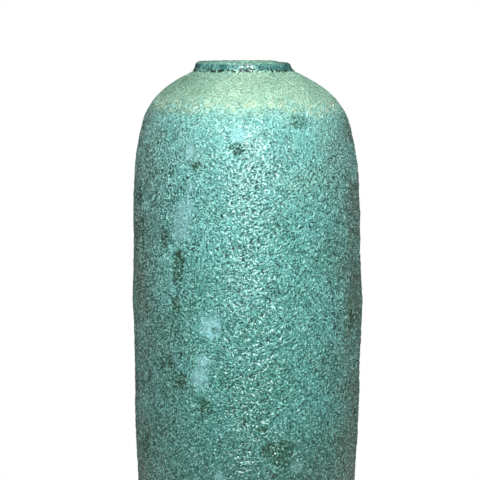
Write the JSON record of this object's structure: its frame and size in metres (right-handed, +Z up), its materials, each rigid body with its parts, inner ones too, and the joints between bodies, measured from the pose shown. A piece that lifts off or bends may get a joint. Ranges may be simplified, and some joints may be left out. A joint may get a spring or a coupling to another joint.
{
  "type": "vase",
  "caption": "Tall cylindrical vase with a domed shoulder, a short collared mouth, a foot ring and a thick, heavily pitted blue-green crater glaze.",
  "frame": {"origin": "centre of the foot ring, on the surface that the vase stands on", "axes": "+Z up along the vase, +X to the right as seen from the front, +Y away from the viewer"},
  "size_m": [0.201, 0.201, 0.407],
  "materials": {
    "stoneware": "bare fired clay, matt and gritty",
    "crater_glaze": "thick semi-gloss blue-green glaze full of small craters",
    "shoulder_glaze": "pale mint semi-gloss glaze with few pits",
    "collar_glaze": "glossy teal glaze, pooled and speckled dark",
    "liner_glaze": "thin dark green gloss liner"
  },
  "bodies": {
    "root": {"foot_ring": "stoneware", "floor_slab": "stoneware", "lower_wall": "stoneware", "upper_wall": "stoneware", "shoulder_dome": "stoneware", "neck_collar": "stoneware", "crater_glaze": "crater_glaze", "shoulder_glaze": "shoulder_glaze", "collar_glaze": "collar_glaze", "liner_glaze": "liner_glaze"}
  },
  "joints": []
}
